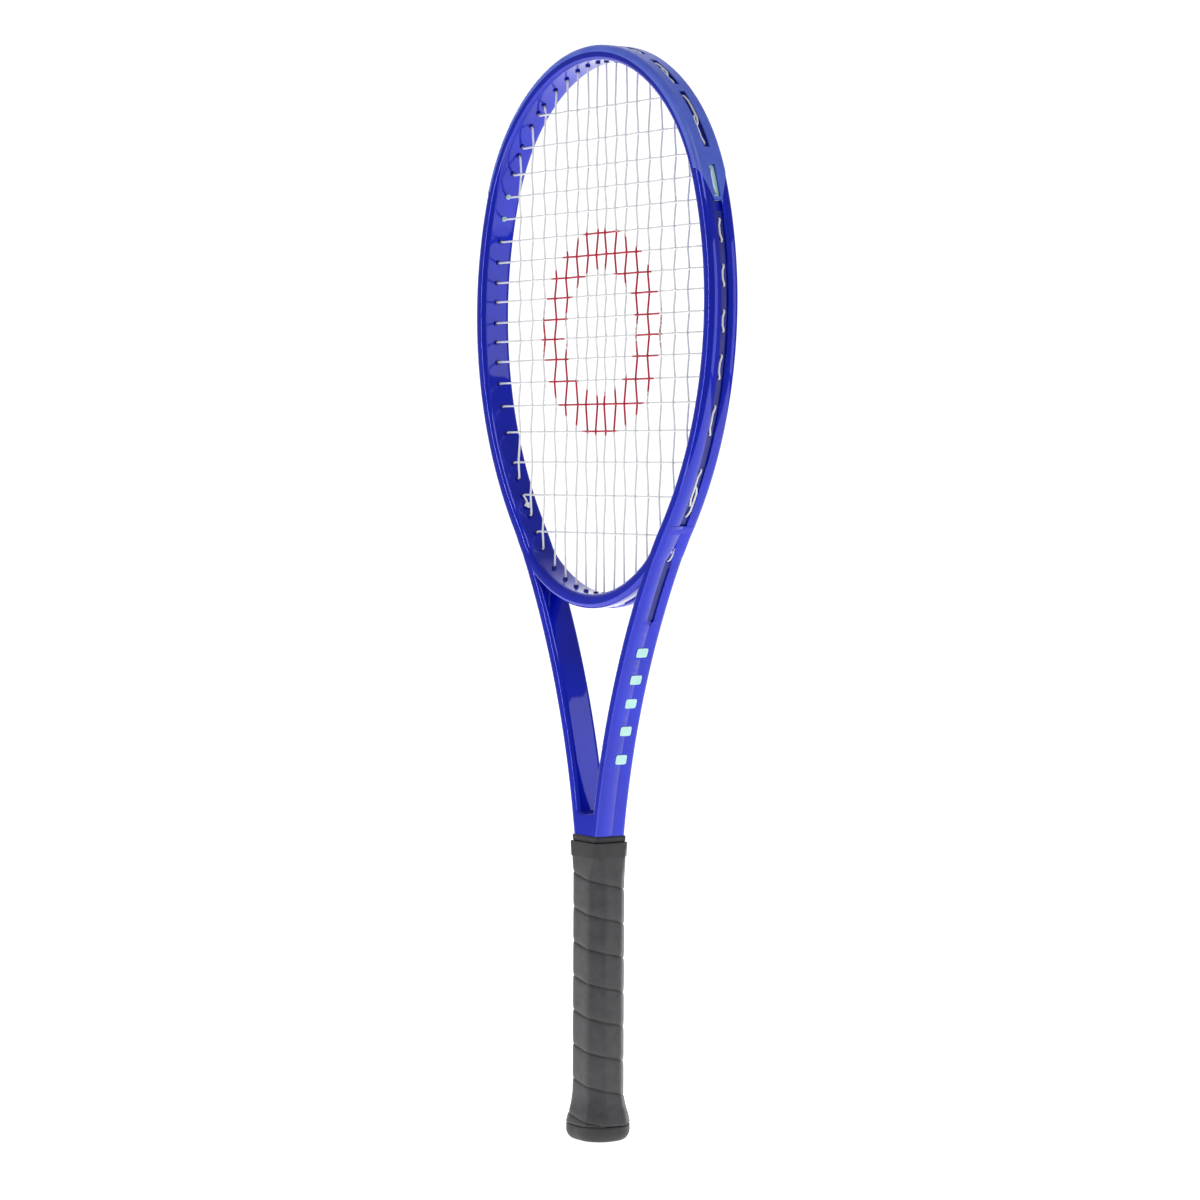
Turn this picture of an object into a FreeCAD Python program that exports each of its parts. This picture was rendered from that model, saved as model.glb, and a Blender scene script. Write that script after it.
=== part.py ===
"""A strung adult tennis racket, as the pieces that it comes apart into.

Frame of reference: millimetres, +Z up.  The racket stands on the end of its handle, so the origin is
the centre of the butt's end face.  +Z runs along the racket to the tip of its head, +X across the head
in the plane of the strings, and +Y through the strings.
"""
import FreeCAD, Part
import math
import os

V = FreeCAD.Vector

# ---- Overall size
LENGTH = 685.8               # standard adult racket, 27 in

# ---- The hairpin: one tube, bent to the head and both shafts
TUBE_HALF_RADIAL = 4.6       # half the tube's thickness in the plane of the strings
TUBE_HALF_DEPTH = 10.8       # half the tube's depth, across the strings
TUBE_CORNER = 3.2
TUBE_WALL = 1.8
HEAD_ARCS = ((111.2, 23.2), (124.6, 47.9), (233.7, 54.7))   # radius and turn in degrees, from the tip down
THROAT_ARC = (204.0, 6.1)    # the bend back towards the axis
LEG_GAP = 0.4                # between the two legs inside the handle
LEG_END = 22.0               # the legs stop this far above the butt's end face
CROTCH_TOP = 211.0           # top of the web that joins the shafts
CROTCH_BOTTOM = 150.0
CROTCH_DIP = 5.0             # the web's top edge dips by this much at the axis

# ---- The throat bridge closes the head
BRIDGE_INNER_RADIUS = 95.0
BRIDGE_DROP = 341.8          # from the head's tip to the lowest point of the bridge's inner face
BRIDGE_SPAN = 50.0           # half angle, in degrees, before the shafts trim the bridge
BRIDGE_SOLID_END = 19.0      # degrees of that at each end which are not hollow

# ---- The channel outside the head, in which the strings turn back
CHANNEL_HALF_WIDTH = 2.5
CHANNEL_DEPTH = 2.2
CHANNEL_END_DROP = 357.0     # from the tip down to the end of the channel

# ---- Strings: 16 mains and 18 crosses
STRING = 1.28
MAINS = (4.6, 15.5, 26.5, 38.5, 51.0, 64.0, 78.2, 92.5)     # each side of the axis
FIRST_CROSS_DROP = 37.5      # from the tip
CROSS_GAPS = (19.5, 16.5, 14.0, 14.0, 14.5, 13.5, 13.0, 12.5, 13.5, 12.5, 13.0, 14.0, 15.0, 17.0, 19.5,
              21.0, 23.5)
BRIDGE_MAINS = 5             # mains on each side that pass through the bridge
WEAVE_RADIUS = 8.0           # bend where two strings cross
TURN_RADIUS = 1.5            # bend where a string turns at a grommet
STRING_GAP = 0.04            # between two crossing strings
LANE = 1.4                   # outside the head, mains run this far to +Y and crosses to -Y
KNOT_RADIUS = 1.6

# ---- Grommets
BARREL_RADIUS = 1.6
BARREL_BORE = 0.95
BARREL_PROUD = 1.0           # past the inner face of the head
MOUTH_TO_BEND = 1.0          # from the barrel's mouth to the bend of the string
STRIP_THICKNESS = 0.8
STRIP_HALF_WIDTH = 2.3
STRIP_MARGIN = 4.5           # past the last barrel
GROMMET_GAP = 0.1
ACCENT_CROSSES = (4, 5)      # the crosses whose grommets are a piece of their own

# ---- Bumper guard over the tip
BUMPER_THICKNESS = 1.0
BUMPER_PROUD = 0.3           # past the tube; the rest is let into it
BUMPER_WRAP = 4.2            # how far it comes down the tube's front and back
BUMPER_END_DROP = 104.0
BUMPER_TAPER = 26.0          # length of the taper at each end
BUMPER_TIP = 2.9             # half its width where the taper ends
BUMPER_WINDOW_HALF_WIDTH = 2.3
BUMPER_GAP = 0.05

# ---- Handle
HANDLE_X = 32.0              # over the grip
HANDLE_Y = 28.4
BEVEL = 7.6                  # each leg of the octagon's corner
GRIP = 1.7                   # thickness of the wrapped grip
GRIP_TOP = 188.0
GRIP_BOTTOM = 10.0
TAPER_START = 165.0          # above this the bevels die out towards the shafts' outline
TOP_BEVEL = 2.5              # at the grip's top edge
TOP_CLEARANCE = 0.1          # between the shafts and the grip there
BEVEL_CLEARANCE = 0.02       # between the legs' corners and the bevels
PALLET_TOP = 164.0
PALLET_GAP = 0.1
SPLIT_GAP = 0.1              # between the two pallets
COLLAR_HEIGHT = 4.2
COLLAR_WALL = 0.9
COLLAR_GAP = 0.2
TAPE_HEIGHT = 9.0
TAPE_WALL = 0.2
TAPE_GAP = 0.02
PLUG_HEIGHT = 8.0

# ---- Butt cap and its trap door
FLARE = 4.6                  # the butt stands this far out past the handle
FLARE_START = 30.0
FLARE_STEPS = ((22.0, 0.24), (15.0, 0.70), (8.5, 1.00))      # height, and share of the flare
BUTT_EDGE_HEIGHT = 6.0       # rounding of the end's edge, a quarter of an ellipse
BUTT_EDGE_IN = 5.0
BUTT_EDGE_STEPS = 4
CAP_WALL = 4.0               # the cap's end wall
CAP_TOP = 32.0
CAP_LAP = 1.4                # the cap's skirt is let into the pallets by this much
DOOR_X = 19.0
DOOR_Y = 15.0
DOOR_PLATE = 2.0
DOOR_LEDGE = 1.5
DOOR_GAP = 0.15
DOOR_LEG = (6.0, 1.2, 9.0)   # width, thickness and height of each snap leg
DOOR_BARB = 0.6
WELL_HALF_X = 9.2            # the hollow behind the door, up to the ends of the legs
WELL_HALF_Y = 5.0

# ---- Staples
STAPLE_WIRE = 1.0
STAPLE_CROWN = 9.0
STAPLE_LEG = 6.0
STAPLE_BEND = 0.6            # to the wire's centre
STAPLE_GAP = 0.05
CAP_STAPLE_HEIGHT = 18.5     # below the ends of the legs
CAP_STAPLE_Y = 13.4          # of the crown, under the cap's flared skirt
GRIP_STAPLE_HEIGHT = 13.0

BIG = 400.0


# ---- Centreline of the hairpin

LEG_OFFSET = TUBE_HALF_RADIAL + LEG_GAP / 2      # centre of each leg from the axis, inside the handle


def hairpin_runs():
    """The right half, from the tip: (length, radius, sign of the turn) of each run; 0 is straight."""
    runs = [(radius * math.radians(turn), radius, 1) for radius, turn in HEAD_ARCS]
    lean = math.radians(sum(turn for _, turn in HEAD_ARCS) - 90.0)
    radius, turn = THROAT_ARC
    runs.append((radius * math.radians(turn), radius, -1))
    last = lean - math.radians(turn)
    x, _, _ = walk(runs, sum(run[0] for run in runs))
    last_radius = (x - LEG_OFFSET) / (1.0 - math.cos(last))
    runs.append((last_radius * last, last_radius, -1))
    _, z, _ = walk(runs, sum(run[0] for run in runs))
    runs.append((z - LEG_END, 0.0, 0))
    return runs


def walk(runs, distance):
    """Point and heading (radians, clockwise from +X) at a distance along the right half."""
    x, z, heading = 0.0, LENGTH - BUMPER_PROUD - TUBE_HALF_RADIAL, 0.0
    left = distance
    for length, radius, sign in runs:
        step = min(left, length)
        if sign:
            turned = heading + sign * step / radius
            x += sign * radius * (math.sin(turned) - math.sin(heading))
            z += sign * radius * (math.cos(turned) - math.cos(heading))
            heading = turned
        else:
            x += step * math.cos(heading)
            z -= step * math.sin(heading)
        left -= step
        if left <= 0.0:
            break
    return x, z, heading


RUNS = hairpin_runs()
HALF_LENGTH = sum(run[0] for run in RUNS)


def station(s):
    """Point, direction and outward normal at distance s from the tip; s is negative on the left."""
    x, z, heading = walk(RUNS, abs(s))
    side = 1.0 if s >= 0.0 else -1.0
    point = V(side * x, 0, z)
    direction = V(math.cos(heading), 0, -side * math.sin(heading))
    normal = V(side * math.sin(heading), 0, math.cos(heading))
    return point, direction, normal


def offset(s, out, y=0.0):
    """The point beside the centreline at s, moved outwards by out and across by y."""
    point, _, normal = station(s)
    return point + normal * out + V(0, y, 0)


def find(value, low, high):
    """The s between low and high where the rising or falling value(s) passes 0."""
    start = value(low)
    for _ in range(60):
        middle = (low + high) / 2.0
        if (value(middle) > 0) == (start > 0):
            low = middle
        else:
            high = middle
    return (low + high) / 2.0


def s_at_drop(drop, out=0.0):
    """Right-hand s where the line beside the centreline is this far below the tip."""
    return find(lambda s: offset(s, out).z - (LENGTH - drop), 0.0, HALF_LENGTH)


# ---- Shapes made along the centreline

def stretch(start, end):
    """The centreline from start to end, as one wire of arcs and lines."""
    marks = [0.0]
    total = 0.0
    for length, _, _ in RUNS:
        total += length
        marks += [total, -total]
    inside = sorted(mark for mark in marks if start + 1e-6 < mark < end - 1e-6)
    cuts = [start] + inside + [end]
    edges = []
    for a, b in zip(cuts, cuts[1:]):
        p, middle, q = station(a)[0], station((a + b) / 2)[0], station(b)[0]
        if middle.distanceToLine(p, q - p) < 1e-7:
            edges.append(Part.LineSegment(p, q).toShape())
        else:
            edges.append(Part.Arc(p, middle, q).toShape())
    return Part.Wire(edges)


def rounded(u0, u1, y0, y1, radius):
    """A closed outline in (out, across) terms, with its corners rounded: lines and corner arcs."""
    r = radius
    c = r * (1.0 - math.sqrt(0.5))
    return [
        ((u0 + r, y0), None, (u1 - r, y0)), ((u1 - r, y0), (u1 - c, y0 + c), (u1, y0 + r)),
        ((u1, y0 + r), None, (u1, y1 - r)), ((u1, y1 - r), (u1 - c, y1 - c), (u1 - r, y1)),
        ((u1 - r, y1), None, (u0 + r, y1)), ((u0 + r, y1), (u0 + c, y1 - c), (u0, y1 - r)),
        ((u0, y1 - r), None, (u0, y0 + r)), ((u0, y0 + r), (u0 + c, y0 + c), (u0 + r, y0)),
    ]


def box_outline(u0, u1, y0, y1):
    corners = [(u0, y0), (u1, y0), (u1, y1), (u0, y1)]
    return [(corners[i], None, corners[(i + 1) % 4]) for i in range(4)]


def face_from(outline, place):
    """A face from an outline, where place puts an (out, across) pair into space."""
    edges = []
    for a, middle, b in outline:
        if middle is None:
            edges.append(Part.LineSegment(place(*a), place(*b)).toShape())
        else:
            edges.append(Part.Arc(place(*a), place(*middle), place(*b)).toShape())
    return Part.Face(Part.Wire(edges))


def along(outline, start, end):
    """The outline swept along the centreline from start to end."""
    face = face_from(outline, lambda out, across: offset(start, out, across))
    return stretch(start, end).makePipe(face)


def tube_outline(grow=0.0):
    a = TUBE_HALF_RADIAL + grow
    b = TUBE_HALF_DEPTH + grow
    return rounded(-a, a, -b, b, TUBE_CORNER + grow)


def cavity_outline(shrink=0.0):
    """The tube's hollow, which leaves the wall that carries the channel."""
    a = TUBE_HALF_RADIAL - TUBE_WALL - shrink
    b = TUBE_HALF_DEPTH - TUBE_WALL - shrink
    return rounded(-a, a - CHANNEL_DEPTH, -b, b, TUBE_CORNER - TUBE_WALL - shrink)


# ---- The bridge, an arc about a centre on the axis

BRIDGE_CENTRE = V(0, 0, LENGTH - BRIDGE_DROP + BRIDGE_INNER_RADIUS)
BRIDGE_RADIUS = BRIDGE_INNER_RADIUS + TUBE_HALF_RADIAL


def bridge_point(angle, out, y=0.0):
    """A point of the bridge, angle in degrees from straight down towards +X."""
    r = BRIDGE_RADIUS + out
    a = math.radians(angle)
    return BRIDGE_CENTRE + V(r * math.sin(a), y, -r * math.cos(a))


def around_bridge(outline, half_angle):
    face = face_from(outline, lambda out, across: bridge_point(-half_angle, out, across))
    return face.revolve(BRIDGE_CENTRE, V(0, -1, 0), 2 * half_angle)


# ---- Where the strings run

CROSSES = [FIRST_CROSS_DROP + sum(CROSS_GAPS[:i]) for i in range(len(CROSS_GAPS) + 1)]
BEND_OUT = -(TUBE_HALF_RADIAL + BARREL_PROUD + MOUTH_TO_BEND)
RUN_OUT = TUBE_HALF_RADIAL - CHANNEL_DEPTH + STRIP_THICKNESS + STRING / 2 + 0.04
WIDEST = find(lambda s: station(s)[1].x, 1.0, HALF_LENGTH / 2)
CHANNEL_END = s_at_drop(CHANNEL_END_DROP)
BUMPER_END = s_at_drop(BUMPER_END_DROP)


def cross_hole(number):
    return s_at_drop(CROSSES[number - 1], BEND_OUT)


def main_top_hole(number):
    return find(lambda s: offset(s, BEND_OUT).x - MAINS[number - 1], 0.0, WIDEST)


def main_low_hole(number):
    return find(lambda s: offset(s, BEND_OUT).x - MAINS[number - 1], WIDEST, CHANNEL_END)


LAST_CROSS = len(CROSSES)
LAST_MAIN = len(MAINS)
MAIN_TIE = (cross_hole(LAST_CROSS - 1) + main_low_hole(LAST_MAIN - 1)) / 2
START_TIE = (main_top_hole(5) + main_top_hole(6)) / 2
END_TIE = (cross_hole(LAST_CROSS) + main_low_hole(BRIDGE_MAINS + 1)) / 2


def head_holes(side):
    """Barrels of the head grommet strip on one side: the mains' top ends and the first crosses."""
    holes = [main_top_hole(n) for n in range(1, LAST_MAIN + 1)]
    holes += [cross_hole(n) for n in range(1, ACCENT_CROSSES[0])]
    if side > 0:
        holes.append(START_TIE)
    return [side * s for s in holes]


def accent_holes(side):
    return [side * cross_hole(n) for n in ACCENT_CROSSES]


def side_holes(side):
    holes = [cross_hole(n) for n in range(ACCENT_CROSSES[-1] + 1, LAST_CROSS + 1)]
    holes += [main_low_hole(n) for n in range(BRIDGE_MAINS + 1, LAST_MAIN + 1)]
    holes.append(MAIN_TIE)
    if side > 0:
        holes.append(END_TIE)
    return [side * s for s in holes]


def head_cylinder(s, radius, inner, outer):
    """A round bar through the tube along its normal at s, between two distances out."""
    _, _, normal = station(s)
    return Part.makeCylinder(radius, outer - inner, offset(s, inner), normal)


def bridge_cylinder(x, radius, inner, outer):
    """A round bar straight down through the bridge; inner and outer are distances out, at x."""
    top = BRIDGE_CENTRE.z - math.sqrt((BRIDGE_RADIUS + inner) ** 2 - x * x)
    bottom = BRIDGE_CENTRE.z - math.sqrt((BRIDGE_RADIUS + outer) ** 2 - x * x)
    return Part.makeCylinder(radius, top - bottom, V(x, 0, bottom), V(0, 0, 1))


def bridge_mains():
    return [side * x for x in MAINS[:BRIDGE_MAINS] for side in (-1, 1)]


# ---- Strings

def bent_wire(points):
    """A wire through (point, radius) pairs, rounded at each inner point."""
    edges = []
    last = points[0][0]
    for (a, _), (p, radius), (b, _) in zip(points, points[1:], points[2:]):
        into = (p - a).normalize()
        away = (b - p).normalize()
        half = into.getAngle(away) / 2
        if half < 1e-5:
            continue
        reach = min(radius * math.tan(half), 0.45 * (p - a).Length, 0.45 * (b - p).Length)
        r = reach / math.tan(half)
        start = p - into * reach
        end = p + away * reach
        middle = p + (away - into).normalize() * (r / math.cos(half) - r)
        if start.distanceToPoint(last) > 1e-5:
            edges.append(Part.LineSegment(last, start).toShape())
        edges.append(Part.Arc(start, middle, end).toShape())
        last = end
    edges.append(Part.LineSegment(last, points[-1][0]).toShape())
    return Part.Wire(edges)


def string_solid(points):
    wire = bent_wire(points)
    first = (points[1][0] - points[0][0]).normalize()
    circle = Part.Wire(Part.Circle(points[0][0], first, STRING / 2).toShape())
    solid = wire.makePipe(Part.Face(circle))
    print("string", round(wire.Length / 1000, 3), "m, volume against section times length",
          round(solid.Volume / (math.pi * STRING ** 2 / 4 * wire.Length), 4))
    return solid


def weave_height(spacing):
    """How far a string stands off at a crossing, so that it clears the other after its bend."""
    half = math.atan2(STRING + STRING_GAP, spacing)
    return (STRING + STRING_GAP) / 2 + WEAVE_RADIUS * (1.0 / math.cos(half) - 1.0)


def outside_head(start, end, lane):
    """The run along the channel from one hole to another, shifted into its lane."""
    steps = max(2, math.ceil(abs(end - start) / 5.0))
    points = [(offset(start, RUN_OUT, 0), TURN_RADIUS)]
    for i in range(1, steps):
        points.append((offset(start + (end - start) * i / steps, RUN_OUT, lane), TURN_RADIUS))
    points.append((offset(end, RUN_OUT, 0), TURN_RADIUS))
    return points


def outside_bridge(x0, x1):
    """The run under the bridge between two mains."""
    r = BRIDGE_RADIUS + RUN_OUT
    steps = max(2, math.ceil(abs(x1 - x0) / 5.0))
    points = []
    for i in range(steps + 1):
        x = x0 + (x1 - x0) * i / steps
        points.append((V(x, 0, BRIDGE_CENTRE.z - math.sqrt(r * r - x * x)), TURN_RADIUS))
    return points


def main_crossings(number, side, upwards):
    """The points of one main where it passes the crosses, from its low end or from its top end."""
    x = side * MAINS[number - 1]
    top = offset(main_top_hole(number), BEND_OUT).z
    if number <= BRIDGE_MAINS:
        r = BRIDGE_RADIUS + BEND_OUT
        low = BRIDGE_CENTRE.z - math.sqrt(r * r - x * x)
    else:
        low = offset(main_low_hole(number), BEND_OUT).z
    column = LAST_MAIN + side * number - (1 if side > 0 else 0)
    points = []
    for row, drop in enumerate(CROSSES):
        z = LENGTH - drop
        if low < z < top:
            up = 1 if (row + column) % 2 == 0 else -1
            points.append((V(x, up * weave_height(14.0), z), WEAVE_RADIUS))
    return points[::-1] if upwards else points


def main_ends(number, side):
    """The low and top bend points of a main, just inside the head."""
    x = side * MAINS[number - 1]
    top = (offset(side * main_top_hole(number), BEND_OUT), TURN_RADIUS)
    if number <= BRIDGE_MAINS:
        r = BRIDGE_RADIUS + BEND_OUT
        low = (V(x, 0, BRIDGE_CENTRE.z - math.sqrt(r * r - x * x)), TURN_RADIUS)
    else:
        low = (offset(side * main_low_hole(number), BEND_OUT), TURN_RADIUS)
    return low, top


def half_of_mains(side):
    """From the first main under the bridge out to the tie-off of the last."""
    points = []
    for number in range(1, LAST_MAIN + 1):
        low, top = main_ends(number, side)
        if number % 2:
            points += [low] + main_crossings(number, side, True) + [top]
            if number < LAST_MAIN:
                points += outside_head(side * main_top_hole(number), side * main_top_hole(number + 1), LANE)
        else:
            points += [top] + main_crossings(number, side, False) + [low]
            if number < BRIDGE_MAINS:
                points += outside_bridge(side * MAINS[number - 1], side * MAINS[number])
            elif number < LAST_MAIN:
                points += outside_head(side * main_low_hole(number), side * main_low_hole(number + 1), LANE)
    points += outside_head(side * main_low_hole(LAST_MAIN), side * MAIN_TIE, LANE)
    points.append((offset(side * MAIN_TIE, BEND_OUT), TURN_RADIUS))
    return points


def main_string():
    left = half_of_mains(-1)[::-1]
    under = outside_bridge(-MAINS[0], MAINS[0])
    right = half_of_mains(1)
    return tied(left + under + right)


def cross_string():
    points = [(offset(START_TIE, BEND_OUT), TURN_RADIUS)]
    points += outside_head(START_TIE, cross_hole(1), -LANE)
    for number in range(1, LAST_CROSS + 1):
        s = cross_hole(number)
        reach = offset(s, BEND_OUT).x
        right = (offset(s, BEND_OUT), TURN_RADIUS)
        left = (offset(-s, BEND_OUT), TURN_RADIUS)
        across = []
        for column, x in enumerate([-m for m in MAINS[::-1]] + list(MAINS)):
            if abs(x) < reach:
                down = -1 if (number - 1 + column) % 2 == 0 else 1
                across.append((V(x, down * weave_height(12.0), right[0].z), WEAVE_RADIUS))
        leftwards = number % 2 == 1
        points += [right] + across[::-1] + [left] if leftwards else [left] + across + [right]
        if number < LAST_CROSS:
            side = -1 if leftwards else 1
            points += outside_head(side * s, side * cross_hole(number + 1), -LANE)
    points += outside_head(cross_hole(LAST_CROSS), END_TIE, -LANE)
    points.append((offset(END_TIE, BEND_OUT), TURN_RADIUS))
    return tied(points)


def tied(points):
    """The string with a knot at each end, against the mouth of its last barrel."""
    knots = [Part.makeSphere(KNOT_RADIUS, point) for point in (points[0][0], points[-1][0])]
    inner = points[1:-1]
    ends = [(points[0][0], 0.0)], [(points[-1][0], 0.0)]
    return string_solid(ends[0] + inner + ends[1]).fuse(knots)


# ---- Handle sections

CORNER_SHARE = 2.0 - math.sqrt(2.0)      # what a bevel loses, and a rounded corner cuts off, per unit


def shafts_half_x(z):
    """Half the width over both shafts at a height."""
    return offset(s_at_drop(LENGTH - z), 0).x + TUBE_HALF_RADIAL


def bevel_that_fits():
    """The handle's bevel, or less where the corners of the legs need the room."""
    half_sum = (HANDLE_X + HANDLE_Y) / 2
    corner = TUBE_HALF_DEPTH - TUBE_CORNER * CORNER_SHARE + BEVEL_CLEARANCE
    rooms = [(GRIP + CAP_LAP - PALLET_GAP, LEG_OFFSET + TUBE_HALF_RADIAL), (GRIP, shafts_half_x(TAPER_START))]
    return min([BEVEL] + [half_sum - 2 * depth - x - corner + depth * CORNER_SHARE for depth, x in rooms])


HANDLE_BEVEL = bevel_that_fits()
TOP_X = 2 * (shafts_half_x(GRIP_TOP) + TOP_CLEARANCE + GRIP)      # over the grip, at its top edge
TOP_Y = 2 * (TUBE_HALF_DEPTH + TOP_CLEARANCE + GRIP)


def octagon(grow, z):
    """The handle's eight-sided outline, grown outwards by grow from the size over the grip."""
    share = min(1.0, max(0.0, (z - TAPER_START) / (GRIP_TOP - TAPER_START)))
    x = (HANDLE_X + (TOP_X - HANDLE_X) * share) / 2 + grow
    y = (HANDLE_Y + (TOP_Y - HANDLE_Y) * share) / 2 + grow
    c = HANDLE_BEVEL + (TOP_BEVEL - HANDLE_BEVEL) * share + grow * CORNER_SHARE
    corners = [(x, -y + c), (x, y - c), (x - c, y), (-x + c, y), (-x, y - c), (-x, -y + c),
               (-x + c, -y), (x - c, -y)]
    points = [V(px, py, z) for px, py in corners]
    return Part.makePolygon(points + [points[0]])


def prism(grow, z0, z1):
    return Part.Face(octagon(grow, z0)).extrude(V(0, 0, z1 - z0))


def lofted(levels):
    """A solid through octagons, each given as (height, growth)."""
    return Part.makeLoft([octagon(grow, z) for z, grow in levels], True, True)


def flare_levels(grow, bottom):
    """The flare over the butt, as (height, growth) from the bottom up to where it dies out."""
    levels = [(z, share * FLARE + grow) for z, share in FLARE_STEPS if z > bottom]
    foot = FLARE_STEPS[-1][1] * FLARE + grow
    return [(bottom, foot)] + levels[::-1] + [(FLARE_START, grow)]


def leg_pocket(gap, z0, z1):
    """The room that both legs take up side by side, straight from z0 to z1."""
    x = LEG_OFFSET + TUBE_HALF_RADIAL + gap
    y = TUBE_HALF_DEPTH + gap
    face = face_from(rounded(-x, x, -y, y, TUBE_CORNER), lambda u, w: V(u, w, z0))
    return face.extrude(V(0, 0, z1 - z0))


# ---- The pieces

def solid_hairpin(grow=0.0):
    """The two shafts, the head and the web between the shafts, without hollow or holes."""
    tube = along(tube_outline(grow), -HALF_LENGTH, HALF_LENGTH)
    x = offset(s_at_drop(LENGTH - CROTCH_TOP), 0).x
    low_x = offset(s_at_drop(LENGTH - CROTCH_BOTTOM), 0).x
    depth = TUBE_HALF_DEPTH + grow
    top = CROTCH_TOP
    outline = [((-low_x, CROTCH_BOTTOM), None, (low_x, CROTCH_BOTTOM)),
               ((low_x, CROTCH_BOTTOM), None, (x, top)),
               ((x, top), (0, top - CROTCH_DIP), (-x, top)),
               ((-x, top), None, (-low_x, CROTCH_BOTTOM))]
    web = face_from(outline, lambda u, w: V(u, -depth, w)).extrude(V(0, 2 * depth, 0))
    return tube.fuse(web).removeSplitter()


def hairpin_tube():
    solid = solid_hairpin()
    hollow = along(cavity_outline(), -HALF_LENGTH, HALF_LENGTH)
    a = TUBE_HALF_RADIAL
    channel = box_outline(a - CHANNEL_DEPTH, a + 3.0, -CHANNEL_HALF_WIDTH, CHANNEL_HALF_WIDTH)
    groove = along(channel, -CHANNEL_END, CHANNEL_END)
    seat = bumper_cap(BUMPER_GAP)
    holes = [barrel_hole(s) for side in (-1, 1) for s in all_head_holes(side)]
    return solid.cut([hollow, groove, seat] + holes)


def all_head_holes(side):
    return head_holes(side) + accent_holes(side) + side_holes(side)


def barrel_hole(s):
    a = TUBE_HALF_RADIAL
    return head_cylinder(s, BARREL_RADIUS + GROMMET_GAP, -a - 4.0, a + 4.0)


def beyond_inner_face(gap=0.0):
    """All that lies beyond the inner faces of the hairpin's lower head and shafts, to trim pieces with."""
    low = -TUBE_HALF_RADIAL - gap
    depth = 2 * TUBE_HALF_DEPTH
    outline = box_outline(low, 4 * TUBE_HALF_RADIAL, -depth, depth)
    start = main_low_hole(LAST_MAIN)
    end = s_at_drop(CHANNEL_END_DROP + BRIDGE_INNER_RADIUS / 2)
    return [along(outline, start, end), along(outline, -end, -start)]


def throat_bridge():
    a = TUBE_HALF_RADIAL
    b = TUBE_HALF_DEPTH
    body = around_bridge(tube_outline(), BRIDGE_SPAN)
    inner = rounded(-a + TUBE_WALL, a - TUBE_WALL - CHANNEL_DEPTH, -b + TUBE_WALL, b - TUBE_WALL,
                    TUBE_CORNER - TUBE_WALL)
    hollow = around_bridge(inner, BRIDGE_SPAN - BRIDGE_SOLID_END)
    channel = box_outline(a - CHANNEL_DEPTH, a + 3.0, -CHANNEL_HALF_WIDTH, CHANNEL_HALF_WIDTH)
    groove = around_bridge(channel, BRIDGE_SPAN)
    holes = [bridge_cylinder(x, BARREL_RADIUS + GROMMET_GAP, -a - 4.0, a + 4.0) for x in bridge_mains()]
    holes += [barrel_hole(side * main_low_hole(BRIDGE_MAINS + 1)) for side in (-1, 1)]
    return biggest(biggest(body.cut(beyond_inner_face())).cut([hollow, groove] + holes))


def biggest(shape):
    """The main solid of a cut, without the slivers that it may leave."""
    return max(shape.Solids, key=lambda solid: solid.Volume)


def bumper_cap(gap):
    """The bumper's plain shape: a shell over the tube's outer side; gap makes the seat for it."""
    a = TUBE_HALF_RADIAL
    b = TUBE_HALF_DEPTH
    over = BUMPER_PROUD if gap == 0.0 else BUMPER_THICKNESS
    under = BUMPER_THICKNESS - BUMPER_PROUD + gap
    end = BUMPER_END + gap
    outer = along(tube_outline(over), -end, end)
    inner = along(tube_outline(-under), -end, end)
    keep = along(box_outline(a - BUMPER_WRAP - gap, a + 2.0, -b - 2.0, b + 2.0), -end, end)
    return outer.common(keep).cut([inner] + bumper_tapers(end))


def bumper_tapers(end):
    """What is cut off on both sides of each end, so that the bumper runs out in a V."""
    wide = TUBE_HALF_DEPTH + 2.0
    outline = [(-BUMPER_TAPER, wide), (0.0, BUMPER_TIP), (3.0, BUMPER_TIP), (3.0, wide)]
    cuts = []
    for side in (-1, 1):
        point, direction, normal = station(side * end)
        away = direction * side
        for across in (-1, 1):
            corners = [point + away * u + V(0, across * w, 0) - normal * 10.0 for u, w in outline]
            cuts.append(Part.Face(Part.makePolygon(corners + [corners[0]])).extrude(normal * 20.0))
    return cuts


def bumper_windows():
    """Slots in the bumper over each run of string in the channel."""
    runs = []
    for side in (-1, 1):
        runs += [(side, main_top_hole(n), main_top_hole(n + 1)) for n in range(1, LAST_MAIN, 2)]
        runs += [(side, cross_hole(n), cross_hole(n + 1)) for n in range(1, 6)
                 if (n % 2 == 1) == (side < 0)]
    runs.append((1, START_TIE, cross_hole(1)))
    a = TUBE_HALF_RADIAL
    w = BUMPER_WINDOW_HALF_WIDTH
    slots = []
    for side, first, last in runs:
        low, high = sorted((side * (first - 2.6), side * (last + 2.6)))
        slots.append(along(box_outline(a - 3.0, a + 2.0, -w, w), low, high))
    return slots


def bumper_guard():
    return biggest(bumper_cap(0.0).cut(bumper_windows()))


def strip(holes, start, end):
    """A grommet strip in the head's channel, with a barrel at each hole."""
    low = TUBE_HALF_RADIAL - CHANNEL_DEPTH
    base = along(box_outline(low, low + STRIP_THICKNESS, -STRIP_HALF_WIDTH, STRIP_HALF_WIDTH), start, end)
    inner = -(TUBE_HALF_RADIAL + BARREL_PROUD)
    barrels = [head_cylinder(s, BARREL_RADIUS, inner, low + STRIP_THICKNESS / 2) for s in holes]
    bores = [head_cylinder(s, BARREL_BORE, inner - 1.0, low + STRIP_THICKNESS + 1.0) for s in holes]
    return base.fuse(barrels).cut(bores)


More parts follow.
